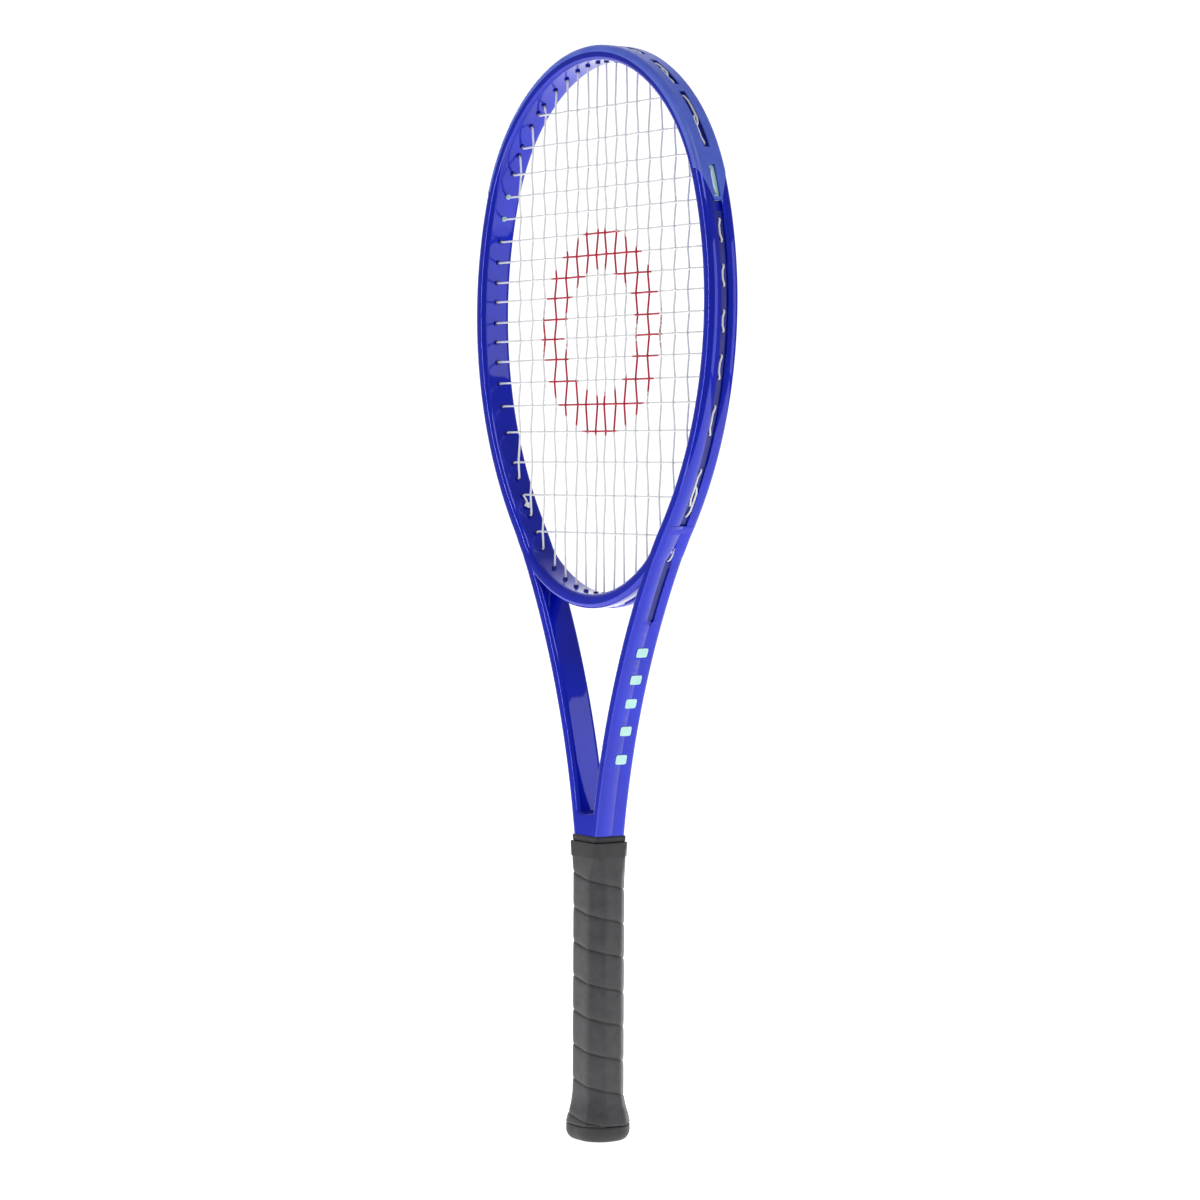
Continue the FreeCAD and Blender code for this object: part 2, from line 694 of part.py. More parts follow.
def throat_grommet_strip():
    low = TUBE_HALF_RADIAL - CHANNEL_DEPTH
    reach = math.degrees(math.asin((MAINS[BRIDGE_MAINS - 1] + 2.4) / (BRIDGE_RADIUS + low)))
    outline = box_outline(low, low + STRIP_THICKNESS, -STRIP_HALF_WIDTH, STRIP_HALF_WIDTH)
    base = around_bridge(outline, reach)
    inner = -(TUBE_HALF_RADIAL + BARREL_PROUD)
    barrels = [bridge_cylinder(x, BARREL_RADIUS, inner, low + STRIP_THICKNESS / 2) for x in bridge_mains()]
    bores = [bridge_cylinder(x, BARREL_BORE, inner - 1.0, low + STRIP_THICKNESS + 1.0)
             for x in bridge_mains()]
    return biggest(base.fuse(barrels).cut(bores + beyond_inner_face(GROMMET_GAP)))


def pallet(side):
    """One half of the moulded handle, glued round both legs; side is -1 in front and 1 behind."""
    body = lofted([(CAP_WALL + PALLET_GAP, -GRIP), (PALLET_TOP, -GRIP)])
    well = Part.makeBox(2 * WELL_HALF_X, 2 * WELL_HALF_Y, LEG_END, V(-WELL_HALF_X, -WELL_HALF_Y, 0))
    room = [well, leg_pocket(PALLET_GAP, LEG_END - PALLET_GAP, LEG_END + PLUG_HEIGHT),
            solid_hairpin(PALLET_GAP)]
    half = Part.makeBox(BIG, BIG, BIG, V(-BIG / 2, SPLIT_GAP / 2, -1))
    if side < 0:
        half = half.mirror(V(0, 0, 0), V(0, 1, 0))
    cap_step = prism(0.0, 0.0, CAP_TOP + PALLET_GAP).cut(prism(-GRIP - CAP_LAP, 0.0, CAP_TOP + PALLET_GAP))
    return body.cut(room + [cap_step]).common(half)


def butt_cap():
    """The end cap, with a skirt that slips over the pallets and a hole for its trap door."""
    wide = FLARE - 0.35
    turns = [math.radians(90.0 * i / BUTT_EDGE_STEPS) for i in range(BUTT_EDGE_STEPS + 1)]
    edge = [(BUTT_EDGE_HEIGHT * (1.0 - math.cos(t)), wide - BUTT_EDGE_IN * (1.0 - math.sin(t))) for t in turns]
    foot = lofted(edge + [(GRIP_BOTTOM - PALLET_GAP, wide)])
    skirt_levels = [(z, grow - GRIP - PALLET_GAP) for z, grow in flare_levels(0.0, GRIP_BOTTOM - 1.0)]
    skirt = lofted(skirt_levels).fuse(prism(-GRIP - PALLET_GAP, FLARE_START - 1.0, CAP_TOP))
    inside = prism(-GRIP - CAP_LAP + PALLET_GAP, CAP_WALL, CAP_TOP + 1.0)
    opening = Part.makeBox(DOOR_X - 2 * DOOR_LEDGE, DOOR_Y - 2 * DOOR_LEDGE, BIG,
                           V(-DOOR_X / 2 + DOOR_LEDGE, -DOOR_Y / 2 + DOOR_LEDGE, -1.0))
    seat = Part.makeBox(DOOR_X, DOOR_Y, DOOR_PLATE + 1.0, V(-DOOR_X / 2, -DOOR_Y / 2, -1.0))
    return foot.fuse(skirt).cut([inside, opening, seat])


def butt_cap_door():
    """The trap door: a plate let into the end face, with two snap legs."""
    plate = Part.makeBox(DOOR_X - 2 * DOOR_GAP, DOOR_Y - 2 * DOOR_GAP, DOOR_PLATE - DOOR_GAP,
                         V(-DOOR_X / 2 + DOOR_GAP, -DOOR_Y / 2 + DOOR_GAP, 0.0))
    width, thick, height = DOOR_LEG
    edge = DOOR_X / 2 - DOOR_LEDGE - DOOR_GAP - DOOR_BARB
    pieces = []
    for side in (-1, 1):
        x = edge - thick if side > 0 else -edge
        pieces.append(Part.makeBox(thick, width, height, V(x, -width / 2, 0.5)))
        tip = [V(side * edge, -width / 2, CAP_WALL + DOOR_GAP),
               V(side * (edge + DOOR_BARB), -width / 2, CAP_WALL + DOOR_GAP + DOOR_BARB),
               V(side * edge, -width / 2, CAP_WALL + DOOR_GAP + 3 * DOOR_BARB)]
        pieces.append(Part.Face(Part.makePolygon(tip + [tip[0]])).extrude(V(0, width, 0)))
    return plate.fuse(pieces)


def staple(crown_centre, crown, leg):
    """A wire staple: its crown's centre, the vector along half its crown, and the vector of a leg."""
    r = STAPLE_WIRE / 2
    a = crown_centre - crown
    b = crown_centre + crown
    points = [(a + leg, 0.0), (a, STAPLE_BEND), (b, STAPLE_BEND), (b + leg, 0.0)]
    wire = bent_wire(points)
    circle = Part.Wire(Part.Circle(a + leg, leg, r).toShape())
    return wire.makePipe(Part.Face(circle))


def staple_room(crown_centre, crown, leg):
    """The hole that a staple presses: its crown's slot, open outwards, and its two leg holes."""
    r = STAPLE_WIRE / 2 + STAPLE_GAP
    out = (leg * -1.0).normalize()
    along_crown = V(crown).normalize()
    up = along_crown.cross(out)
    half = crown.Length + r
    corner = crown_centre - along_crown * half - up * r - out * r
    base = [corner, corner + along_crown * 2 * half, corner + along_crown * 2 * half + up * 2 * r,
            corner + up * 2 * r]
    slot = Part.Face(Part.makePolygon(base + [base[0]])).extrude(out * 6.0)
    legs = [Part.makeCylinder(r, leg.Length + STAPLE_GAP, crown_centre + crown * side, leg)
            for side in (-1, 1)]
    return slot.fuse(legs)


def cap_staples():
    """One staple in front and one behind hold the cap's skirt to the pallets."""
    half = V(STAPLE_CROWN / 2 - 1.0, 0, 0)
    return [(V(0, side * CAP_STAPLE_Y, CAP_STAPLE_HEIGHT), half, V(0, -side * STAPLE_LEG, 0)) for side in (-1, 1)]


def grip_staples():
    """One staple fixes the start of the grip to the cap."""
    x = HANDLE_X / 2 + FLARE * 0.8 - STAPLE_WIRE / 2 - 0.2
    half = V(0, STAPLE_CROWN / 2 - 1.5, 0)
    return [(V(x, 0, GRIP_STAPLE_HEIGHT), half, V(-STAPLE_LEG, 0, 0))]


def base_grip():
    """The wrapped grip as a plain sleeve."""
    levels = flare_levels(0.0, GRIP_BOTTOM)
    under = [(z, grow - GRIP) for z, grow in levels]
    top = [(TAPER_START, 0.0), (GRIP_TOP, 0.0)]
    outer = lofted(levels + top)
    inner = lofted([(GRIP_BOTTOM - 1.0, under[0][1])] + under + [(z, grow - GRIP) for z, grow in top])
    return outer.cut([inner, prism(-GRIP, GRIP_TOP - 0.01, GRIP_TOP + 1.0)])


def shaft_ring(gap, wall, z0, z1):
    """A band round both shafts between two heights."""
    inner = shaft_block(gap, z0 - 1.0, z1 + 1.0)
    outer = shaft_block(gap + wall, z0, z1)
    return outer.cut(inner)


def shaft_block(grow, z0, z1):
    """A block with the outline of the joined shafts, widening upwards as they do."""
    wires = []
    for z in (z0, z1):
        x = shafts_half_x(z) + grow
        y = TUBE_HALF_DEPTH + grow
        place = lambda u, w, height=z: V(u, w, height)
        wires.append(face_from(rounded(-x, x, -y, y, TUBE_CORNER), place).OuterWire)
    return Part.makeLoft(wires, True, True)


def finishing_tape():
    """The tape that is wound over the top edge of the grip."""
    z0 = GRIP_TOP - TAPE_HEIGHT
    outer = lofted([(z0, TAPE_GAP + TAPE_WALL), (GRIP_TOP, TAPE_GAP + TAPE_WALL)])
    inner = lofted([(z0, TAPE_GAP), (GRIP_TOP, TAPE_GAP)])
    return outer.cut(inner)


def leg_end_plugs():
    """A plug in the open lower end of each leg."""
    plug = cavity_outline(PALLET_GAP)
    solids = []
    for side in (-1, 1):
        place = lambda out, across, s=side: V(s * (LEG_OFFSET + out), across, LEG_END)
        solids.append(face_from(plug, place).extrude(V(0, 0, PLUG_HEIGHT)))
    return Part.makeCompound(solids)


def build():
    bumper = bumper_guard()
    hairpin = hairpin_tube()
    cap_rooms = [staple_room(*place) for place in cap_staples()]
    grip_rooms = [staple_room(*place) for place in grip_staples()]
    head_end = max(cross_hole(ACCENT_CROSSES[0] - 1), main_top_hole(LAST_MAIN)) + STRIP_MARGIN
    accent = [cross_hole(number) for number in ACCENT_CROSSES]
    side_start = cross_hole(ACCENT_CROSSES[-1] + 1) - STRIP_MARGIN
    head_strip = strip(head_holes(-1) + head_holes(1), -head_end, head_end)
    pieces = {
        "hairpin_tube": hairpin,
        "throat_bridge": throat_bridge(),
        "bumper_guard": bumper,
        "head_grommet_strip": head_strip,
        "throat_grommet_strip": throat_grommet_strip(),
        "main_string": main_string(),
        "cross_string": cross_string(),
        "pallet_front": pallet(-1).cut(cap_rooms + grip_rooms),
        "pallet_back": pallet(1).cut(cap_rooms + grip_rooms),
        "leg_end_plugs": leg_end_plugs(),
        "butt_cap": butt_cap().cut(cap_rooms + grip_rooms),
        "butt_cap_door": butt_cap_door(),
        "butt_cap_staples": Part.makeCompound([staple(*place) for place in cap_staples()]),
        "grip_staple": Part.makeCompound([staple(*place) for place in grip_staples()]),
        "base_grip": base_grip().cut(grip_rooms),
        "finishing_tape": finishing_tape(),
        "grip_collar": shaft_ring(COLLAR_GAP, COLLAR_WALL, GRIP_TOP + 0.1, GRIP_TOP + COLLAR_HEIGHT),
    }
    for side, name in ((-1, "left"), (1, "right")):
        start, end = sorted((side * (accent[0] - STRIP_MARGIN), side * (accent[-1] + STRIP_MARGIN)))
        pieces["accent_grommet_" + name] = strip(accent_holes(side), start, end)
        start, end = sorted((side * side_start, side * (CHANNEL_END - 1.0)))
        pieces["side_grommet_strip_" + name] = strip(side_holes(side), start, end)
    return pieces


os.makedirs("parts", exist_ok=True)
for node, shape in build().items():
    shape.exportStep("parts/" + node + ".step")
    box = shape.BoundBox
    print(node, len(shape.Solids), "solid", shape.isValid(), round(shape.Volume), "mm3",
          [round(v, 1) for v in (box.XMin, box.XMax, box.YMin, box.YMax, box.ZMin, box.ZMax)])
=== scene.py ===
import math
import random

import bpy
from mathutils import Matrix, Vector


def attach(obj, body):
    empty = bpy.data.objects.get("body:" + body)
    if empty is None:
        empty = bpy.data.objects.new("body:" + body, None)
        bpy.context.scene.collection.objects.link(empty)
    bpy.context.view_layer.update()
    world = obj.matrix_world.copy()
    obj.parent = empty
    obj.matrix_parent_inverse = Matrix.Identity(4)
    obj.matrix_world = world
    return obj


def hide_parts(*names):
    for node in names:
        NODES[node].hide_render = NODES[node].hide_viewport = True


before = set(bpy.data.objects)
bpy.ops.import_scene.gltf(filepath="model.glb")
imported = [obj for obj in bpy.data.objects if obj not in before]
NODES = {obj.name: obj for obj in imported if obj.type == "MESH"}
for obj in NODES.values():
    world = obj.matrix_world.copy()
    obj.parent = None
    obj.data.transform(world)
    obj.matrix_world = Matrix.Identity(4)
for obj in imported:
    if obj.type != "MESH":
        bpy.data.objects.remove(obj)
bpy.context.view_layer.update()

random.seed(11)
MM = 0.001

# ---- Sizes of the racket, in millimetres, as in its CAD source
LENGTH = 685.8
BUMPER_PROUD = 0.3
HALF_RADIAL = 4.6
HALF_DEPTH = 10.8
TUBE_CORNER = 3.2
HEAD_ARCS = ((111.2, 23.2), (124.6, 47.9), (233.7, 54.7))
THROAT_ARC = (204.0, 6.1)
LEG_OFFSET = 4.8
LEG_END = 22.0
CHANNEL_END_DROP = 357.0
CHANNEL_HALF_WIDTH = 2.5
CHANNEL_DEPTH = 2.2
CROTCH_TOP = 211.0
CROTCH_BOTTOM = 150.0
CROTCH_DIP = 5.0
BARREL_PROUD = 1.0
MOUTH_TO_BEND = 1.0
HANDLE_X = 32.0
HANDLE_Y = 28.4
BEVEL = 7.6
GRIP_TOP = 188.0
GRIP_BOTTOM = 10.0
TAPER_START = 165.0
GRIP = 1.7
TOP_CLEARANCE = 0.1
TOP_BEVEL = 2.5
FLARE = 4.6
FLARE_STEPS = ((30.0, 0.0), (22.0, 0.24), (15.0, 0.70), (8.5, 1.0), (0.0, 1.0))
BUTT_EDGE_HEIGHT = 6.0
BUTT_EDGE_IN = 5.0
COLLAR_RISE = 0.1            # of the collar's lower rim above the grip
COLLAR_TOP = GRIP_TOP + 4.2
COLLAR_GAP = 0.2
COLLAR_WALL = 0.9
MAINS = (4.6, 15.5, 26.5, 38.5, 51.0, 64.0, 78.2, 92.5)
CROSS_GAPS = (19.5, 16.5, 14.0, 14.0, 14.5, 13.5, 13.0, 12.5, 13.5, 12.5, 13.0, 14.0, 15.0, 17.0, 19.5,
              21.0, 23.5)
FIRST_CROSS_DROP = 37.5

BRIDGE_INNER = 95.0
BRIDGE_DROP = 341.8
BRIDGE_CENTRE_Z = LENGTH - BRIDGE_DROP + BRIDGE_INNER
DOOR_X = 19.0
DOOR_Y = 15.0
DOOR_LEDGE = 1.5
DOOR_SEAT = 2.0
CAP_WALL = 4.0

# ---- Detail that only the look needs, in millimetres unless stated
WRAP_PITCH = 21.7            # of the grip's winding
WRAP_START = 165.3           # height of a seam at the corner between the front and the diagonal
BAR_HEIGHTS = (308.8, 291.7, 276.7, 259.2, 241.1)
STENCIL_HEIGHT = 0.508       # metres, of the middle of the ring on the strings
STENCIL_RADIUS = 0.052
STENCIL_HALF_WIDTH = 0.0150
STENCIL_FADE = 0.0015
STENCIL_WEAR = 0.006
SHARP_EDGE = math.radians(50.0)


# ---- Centreline of the hairpin

def walk(runs, distance):
    """The place (x, z) and the heading after that distance along runs of (length, radius, sign)."""
    x, z, heading = 0.0, LENGTH - BUMPER_PROUD - HALF_RADIAL, 0.0
    left = distance
    for length, radius, sign in runs:
        step = min(left, length)
        if sign:
            turned = heading + sign * step / radius
            x += sign * radius * (math.sin(turned) - math.sin(heading))
            z += sign * radius * (math.cos(turned) - math.cos(heading))
            heading = turned
        else:
            x += step * math.cos(heading)
            z -= step * math.sin(heading)
        left -= step
        if left <= 0.0:
            break
    return x, z, heading


def hairpin_runs():
    """Half the hairpin from its top: three arcs of the head, the throat's, the last bend and the leg."""
    runs = [(radius * math.radians(turn), radius, 1) for radius, turn in HEAD_ARCS]
    lean = math.radians(sum(turn for _, turn in HEAD_ARCS) - 90.0)
    radius, turn = THROAT_ARC
    runs.append((radius * math.radians(turn), radius, -1))
    last = lean - math.radians(turn)
    x, _, _ = walk(runs, sum(run[0] for run in runs))
    last_radius = (x - LEG_OFFSET) / (1.0 - math.cos(last))
    runs.append((last_radius * last, last_radius, -1))
    _, z, _ = walk(runs, sum(run[0] for run in runs))
    runs.append((z - LEG_END, 0.0, 0))
    return runs


RUNS = hairpin_runs()
HALF_LENGTH = sum(run[0] for run in RUNS)


def station(s):
    """Point, direction and outward normal at s along the centreline, from the top of the head."""
    x, z, heading = walk(RUNS, abs(s))
    side = 1.0 if s >= 0.0 else -1.0
    point = Vector((side * x, 0.0, z))
    direction = Vector((math.cos(heading), 0.0, -side * math.sin(heading)))
    normal = Vector((side * math.sin(heading), 0.0, math.cos(heading)))
    return point, direction, normal


def beside(s, out, y=0.0):
    point, _, normal = station(s)
    return point + normal * out + Vector((0.0, y, 0.0))


def find(value, low, high):
    """Where value changes sign between low and high."""
    start = value(low)
    for _ in range(60):
        middle = (low + high) / 2.0
        if (value(middle) > 0) == (start > 0):
            low = middle
        else:
            high = middle
    return (low + high) / 2.0


def s_at_height(z, out=0.0):
    return find(lambda s: beside(s, out).z - z, 0.0, HALF_LENGTH)


def shafts_half_x(z):
    """Half the width over both shafts at a height."""
    return beside(s_at_height(z), 0.0).x + HALF_RADIAL


TOP_X = 2 * (shafts_half_x(GRIP_TOP) + TOP_CLEARANCE + GRIP)
TOP_Y = 2 * (HALF_DEPTH + TOP_CLEARANCE + GRIP)


# ---- Mesh helpers

def mesh_piece(name, points, faces, smooth=True):
    """A piece from points in millimetres."""
    mesh = bpy.data.meshes.new(name)
    mesh.from_pydata([tuple(Vector(p) * MM) for p in points], [], faces)
    mesh.polygons.foreach_set("use_smooth", [smooth] * len(mesh.polygons))
    mesh.update()
    piece = bpy.data.objects.new(name, mesh)
    bpy.context.scene.collection.objects.link(piece)
    return piece


def sharp_edges(piece):
    split = piece.modifiers.new("edges", "EDGE_SPLIT")
    split.split_angle = SHARP_EDGE
    return piece


def grid_faces(rows, columns, closed_columns=True, closed_rows=False):
    faces = []
    last_row = rows if closed_rows else rows - 1
    last_column = columns if closed_columns else columns - 1
    for i in range(last_row):
        for j in range(last_column):
            a = i * columns + j
            b = i * columns + (j + 1) % columns
            c = ((i + 1) % rows) * columns + (j + 1) % columns
            d = ((i + 1) % rows) * columns + j
            faces.append((a, b, c, d))
    return faces


def end_caps(rows, columns):
    """The two faces that close the first and the last row of a grid."""
    last = (rows - 1) * columns
    return [tuple(range(columns))[::-1], tuple(range(last, last + columns))]


def tube_piece(name, path, radii, sides=12):
    """A closed tube along a path, with rounded ends where the radii shrink."""
    points = []
    normal = (path[1] - path[0]).normalized().orthogonal().normalized()
    for i, centre in enumerate(path):
        ahead = path[min(i + 1, len(path) - 1)]
        behind = path[max(i - 1, 0)]
        turned = (ahead - behind).normalized()
        normal = (normal - turned * normal.dot(turned)).normalized()
        other = turned.cross(normal)
        for k in range(sides):
            a = 2 * math.pi * k / sides
            points.append(centre + (normal * math.cos(a) + other * math.sin(a)) * radii[i])
    return mesh_piece(name, points, grid_faces(len(path), sides) + end_caps(len(path), sides))


# ---- Materials

def map_range(tree, value, from_low, from_high, low, high):
    made = tree.nodes.new("ShaderNodeMapRange")
    made.inputs["From Min"].default_value = from_low
    made.inputs["From Max"].default_value = from_high
    made.inputs["To Min"].default_value = low
    made.inputs["To Max"].default_value = high
    tree.links.new(value, made.inputs["Value"])
    return made.outputs["Result"]


class Nodes:
    """One procedural material on a Principled shader."""

    def __init__(self, name, roughness, **sockets):
        self.material = bpy.data.materials.new(name)
        self.material.use_nodes = True
        self.tree = self.material.node_tree
        self.shader = self.tree.nodes["Principled BSDF"]
        self.shader.inputs["Roughness"].default_value = roughness
        for socket, value in sockets.items():
            self.shader.inputs[socket.replace("_", " ")].default_value = value
        self.place = self.tree.nodes.new("ShaderNodeTexCoord").outputs["Object"]

    def node(self, kind, **settings):
        made = self.tree.nodes.new(kind)
        for key, value in settings.items():
            setattr(made, key, value)
        return made

    def noise(self, scale, detail=3.0):
        made = self.node("ShaderNodeTexNoise")
        made.inputs["Scale"].default_value = scale
        made.inputs["Detail"].default_value = detail
        self.tree.links.new(self.place, made.inputs["Vector"])
        return made.outputs["Fac"]

    def cells(self, scale):
        made = self.node("ShaderNodeTexVoronoi")
        made.inputs["Scale"].default_value = scale
        self.tree.links.new(self.place, made.inputs["Vector"])
        return made.outputs["Distance"]

    def ramp(self, value, stops):
        made = self.node("ShaderNodeValToRGB")
        while len(made.color_ramp.elements) < len(stops):
            made.color_ramp.elements.new(0.5)
        for element, (position, colour) in zip(made.color_ramp.elements, stops):
            element.position = position
            element.color = (*colour, 1.0)
        self.tree.links.new(value, made.inputs["Fac"])
        return made.outputs["Color"]

    def mottled(self, scale, dark, light, detail=3.0):
        return self.ramp(self.noise(scale, detail), ((0.3, dark), (0.7, light)))

    def sheen(self, scale, low, high):
        """Roughness that wanders between two values."""
        wander = map_range(self.tree, self.noise(scale), 0.3, 0.7, low, high)
        self.tree.links.new(wander, self.shader.inputs["Roughness"])

    def colour(self, output):
        self.tree.links.new(output, self.shader.inputs["Base Color"])

    def bump(self, value, strength, distance):
        made = self.node("ShaderNodeBump")
        made.inputs["Strength"].default_value = strength
        made.inputs["Distance"].default_value = distance
        self.tree.links.new(value, made.inputs["Height"])
        self.tree.links.new(made.outputs["Normal"], self.shader.inputs["Normal"])


def moulded(name, dark, light, roughness, grain=900.0, strength=0.08, **sockets):
    """Moulded plastic or rubber: faint mottling, fine grain, uneven sheen."""
    made = Nodes(name, roughness, **sockets)
    made.colour(made.mottled(60.0, dark, light))
    made.sheen(240.0, roughness - 0.06, roughness + 0.08)
    made.bump(made.noise(grain, 4.0), strength, 0.0002)
    return made.material


def frame_lacquer():
    """Deep blue pearl under a clear gloss coat."""
    made = Nodes("lacquer_ultramarine", 0.36, Coat_Weight=1.0, Coat_Roughness=0.04, Metallic=0.5,
                 Specular_IOR_Level=0.0)
    made.colour(made.mottled(45.0, (0.000, 0.010, 0.46), (0.001, 0.014, 0.56)))
    made.sheen(320.0, 0.33, 0.40)
    made.bump(made.noise(110.0, 2.0), 0.02, 0.0002)
    return made.material


def string_material():
    """White string, with a ring of red ink on its middle that is worn at its edges."""
    made = Nodes("string_white", 0.32, Coat_Weight=0.15, Coat_Roughness=0.2)
    tree = made.tree
    place = made.node("ShaderNodeSeparateXYZ")
    tree.links.new(made.place, place.inputs[0])

    def worked(operation, a, b=0.0):
        step = made.node("ShaderNodeMath", operation=operation)
        for socket, value in zip(step.inputs, (a, b)):
            if isinstance(value, float):
                socket.default_value = value
            else:
                tree.links.new(value, socket)
        return step.outputs[0]

    across = place.outputs["X"]
    up = worked("SUBTRACT", place.outputs["Z"], STENCIL_HEIGHT)
    far = worked("SQRT", worked("ADD", worked("MULTIPLY", across, across), worked("MULTIPLY", up, up)))
    off_ring = worked("ABSOLUTE", worked("SUBTRACT", far, STENCIL_RADIUS))
    worn = worked("ADD", off_ring, worked("MULTIPLY", made.noise(420.0), STENCIL_WEAR))
    bare = map_range(tree, worn, STENCIL_HALF_WIDTH, STENCIL_HALF_WIDTH + STENCIL_FADE, 0.0, 1.0)
    made.colour(made.ramp(bare, ((0.0, (0.52, 0.010, 0.045)), (1.0, (0.86, 0.87, 0.88)))))
    made.sheen(500.0, 0.27, 0.40)
    made.bump(made.noise(1500.0, 2.0), 0.05, 0.0001)
    return made.material


def grip_leather():
    """Synthetic leather: fine pebbling, darker mottling, and painted shade that darkens the colour along
    its seams.
    """
    made = Nodes("leather_charcoal", 0.44, Sheen_Weight=0.10, Sheen_Roughness=0.5)
    # Painted shade: the seam attribute multiplies the colour darker along each seam, standing in for the
    # shadow in its groove.
    seam = made.node("ShaderNodeVertexColor", layer_name="painted_seam_shade")
    mix = made.node("ShaderNodeMix", data_type="RGBA", blend_type="MULTIPLY")
    mix.inputs["Factor"].default_value = 1.0
    plain = made.mottled(150.0, (0.030, 0.030, 0.033), (0.046, 0.046, 0.050), 5.0)
    made.tree.links.new(plain, mix.inputs["A"])
    made.tree.links.new(seam.outputs["Color"], mix.inputs["B"])
    made.colour(mix.outputs["Result"])
    made.sheen(260.0, 0.38, 0.52)
    made.bump(made.cells(1100.0), 0.35, 0.00025)
    return made.material


FRAME_PAINT = frame_lacquer()
# The bumper's colour is its own lighter plastic, raised further by a painted reflection of a big light
# from the upper right.
BUMPER = moulded("plastic_periwinkle_and_painted_reflection", (0.075, 0.130, 0.66), (0.105, 0.170, 0.76), 0.36, strength=0.06)
GROMMET = moulded("plastic_navy", (0.006, 0.010, 0.20), (0.012, 0.020, 0.30), 0.35)
ACCENT = moulded("plastic_mint", (0.40, 0.76, 0.70), (0.54, 0.88, 0.83), 0.38)
MINT_INK = moulded("ink_mint", (0.42, 0.78, 0.72), (0.50, 0.86, 0.80), 0.30, Coat_Weight=1.0,
                   Coat_Roughness=0.04)
STRING = string_material()
FOAM = moulded("foam_grey", (0.18, 0.18, 0.18), (0.26, 0.26, 0.25), 0.80, grain=500.0, strength=0.3)
CAP = moulded("plastic_black", (0.016, 0.016, 0.018), (0.026, 0.026, 0.029), 0.50, strength=0.15)
STEEL = moulded("steel_wire", (0.50, 0.50, 0.51), (0.62, 0.62, 0.63), 0.34, strength=0.05, Metallic=1.0)
LEATHER = grip_leather()
TAPE = moulded("tape_black", (0.020, 0.020, 0.022), (0.032, 0.032, 0.035), 0.42, strength=0.10)
RUBBER = moulded("rubber_black", (0.014, 0.014, 0.016), (0.024, 0.024, 0.026), 0.58, strength=0.15)

FINISH = {
    "hairpin_tube": FRAME_PAINT, "throat_bridge": FRAME_PAINT, "bumper_guard": BUMPER,
    "head_grommet_strip": GROMMET, "accent_grommet_left": ACCENT, "accent_grommet_right": ACCENT,
    "side_grommet_strip_left": GROMMET, "side_grommet_strip_right": GROMMET,
    "throat_grommet_strip": GROMMET, "main_string": STRING, "cross_string": STRING,
    "pallet_front": FOAM, "pallet_back": FOAM, "leg_end_plugs": FOAM, "butt_cap": CAP,
    "butt_cap_door": CAP, "butt_cap_staples": STEEL, "grip_staple": STEEL, "base_grip": LEATHER,
    "finishing_tape": TAPE, "grip_collar": RUBBER,
}
for name, material in FINISH.items():
    node = NODES[name]
    if not node.material_slots:
        node.data.materials.append(None)
    for place in node.material_slots:
        place.link = "OBJECT"
        place.material = material


def finish_piece(piece, material, stands_for=()):
    """Every piece made here belongs to the racket itself. The trap door stays the CAD one."""
    piece.data.materials.append(material)
    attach(piece, "racket")
    if stands_for:
        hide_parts(*stands_for)


# ---- Handle

def flare_at(z):
    """How far the butt's flare stands out at a height, in straight steps."""
    for (high, much), (low, more) in zip(FLARE_STEPS, FLARE_STEPS[1:]):
        if z >= low:
            share = min(1.0, max(0.0, (high - z) / (high - low)))
            return FLARE * (much + (more - much) * share)
    return FLARE


def smooth_flare(z):
    return sum(flare_at(z + d) for d in (-2.0, -1.0, 0.0, 1.0, 2.0)) / 5.0


def octagon(z, grow, soft=2.4, per_corner=5, per_side=(10, 6), most_reach=0.45):
    """The handle's outline grown outwards, each corner softened over a part of its two sides."""
    share = min(1.0, max(0.0, (z - TAPER_START) / (GRIP_TOP - TAPER_START)))
    x = (HANDLE_X + (TOP_X - HANDLE_X) * share) / 2 + grow
    y = (HANDLE_Y + (TOP_Y - HANDLE_Y) * share) / 2 + grow
    c = BEVEL + (TOP_BEVEL - BEVEL) * share + grow * (2.0 - math.sqrt(2.0))
    corners = [Vector(p) for p in ((x - c, -y), (x, -y + c), (x, y - c), (x - c, y), (-x + c, y),
                                   (-x, y - c), (-x, -y + c), (-x + c, -y))]
    points = []
    for i, corner in enumerate(corners):
        before = corners[i - 1]
        after = corners[(i + 1) % 8]
        beyond = corners[(i + 2) % 8]
        reach = min(soft, most_reach * (corner - before).length, most_reach * (after - corner).length)
        a = corner + (before - corner).normalized() * reach
        b = corner + (after - corner).normalized() * reach
        for k in range(per_corner):
            t = k / (per_corner - 1)
            points.append(a * (1 - t) ** 2 + corner * 2 * t * (1 - t) + b * t * t)
        next_reach = min(soft, most_reach * (after - corner).length, most_reach * (beyond - after).length)
        end = after + (corner - after).normalized() * next_reach
        steps = per_side[i % 2]
        for k in range(1, steps):
            points.append(b + (end - b) * k / steps)
    return points


def bell(distance, width):
    return math.exp(-(distance / width) ** 2)


